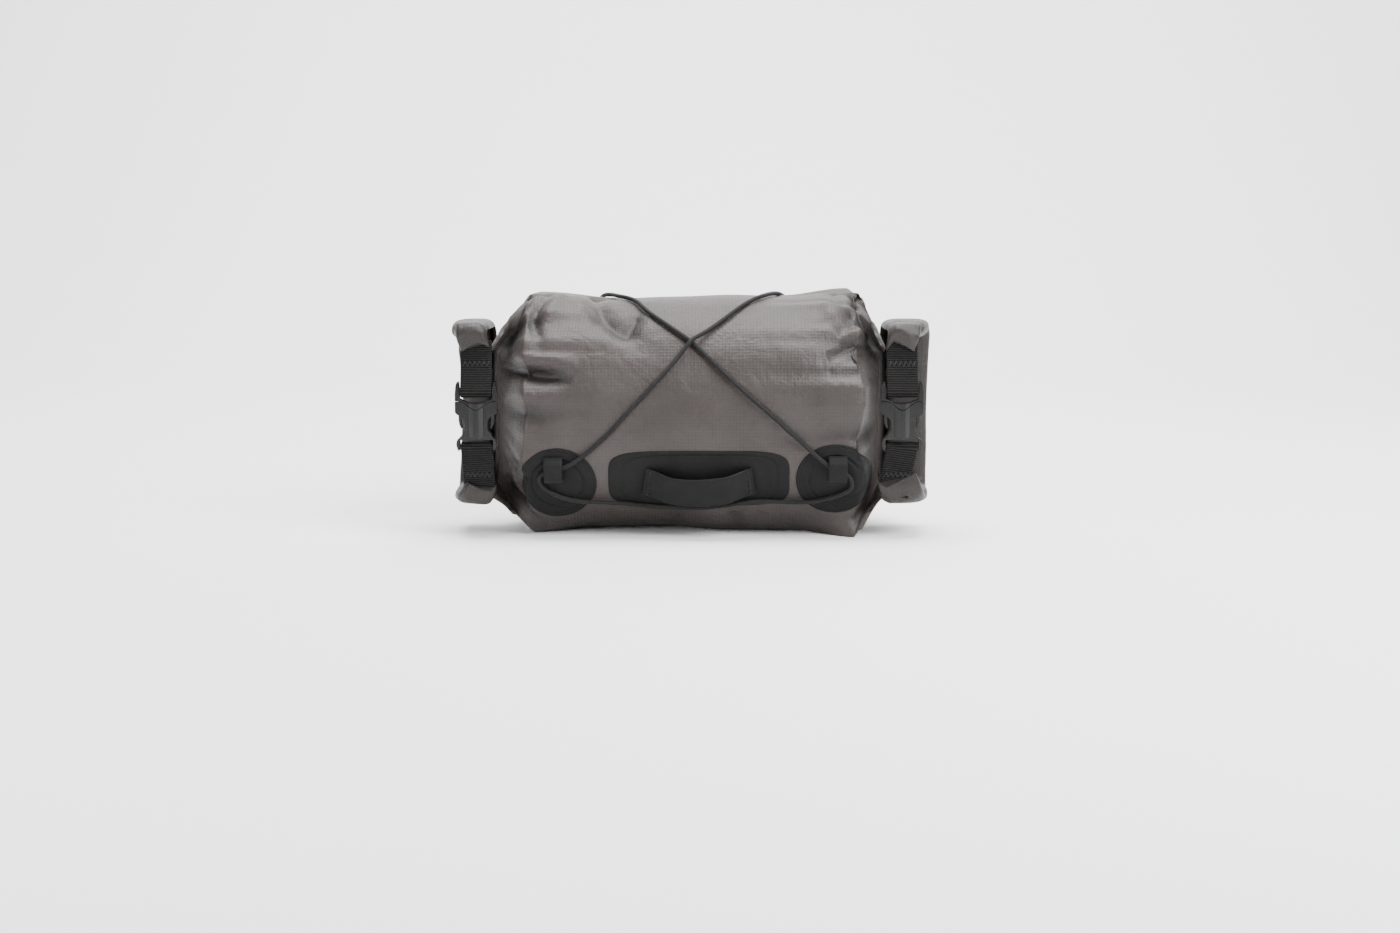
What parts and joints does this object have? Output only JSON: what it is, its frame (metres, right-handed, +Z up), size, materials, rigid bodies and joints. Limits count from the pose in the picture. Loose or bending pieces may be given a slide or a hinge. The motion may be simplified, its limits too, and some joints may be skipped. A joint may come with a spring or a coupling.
{
  "type": "handlebar bag",
  "caption": "Roll-ended cloth bag for a drop handlebar, with buckled webbing closures, a gear loop and a crossed shock cord.",
  "frame": {"origin": "on the resting surface, under the middle of the stuffed body", "axes": "+Z up, -Y the front of the bag, +X along the bag to the right as one looks at its front"},
  "size_m": [0.3171, 0.1762, 0.1566],
  "materials": {
    "shell_cloth": "coated ripstop, satin",
    "bonded_patch": "matte",
    "webbing": "woven ribs",
    "buckle_plastic": "moulded gloss",
    "cord_sheath": "braided"
  },
  "bodies": {
    "root": {"bag_shell": "shell_cloth", "roll_closure_left": "shell_cloth", "roll_closure_right": "shell_cloth", "closure_web_upper_left": "webbing", "closure_web_upper_right": "webbing", "closure_web_lower_left": "webbing", "closure_web_lower_right": "webbing", "buckle_male_left": "buckle_plastic", "buckle_male_right": "buckle_plastic", "buckle_female_left": "buckle_plastic", "buckle_female_right": "buckle_plastic", "anchor_patch_left": "bonded_patch", "anchor_patch_right": "bonded_patch", "base_patch": "bonded_patch", "gear_loop": "bonded_patch", "cord_loop_left": "bonded_patch", "cord_loop_right": "bonded_patch", "bar_strap_left": "webbing", "bar_strap_right": "webbing", "shock_cord": "cord_sheath"}
  },
  "joints": []
}
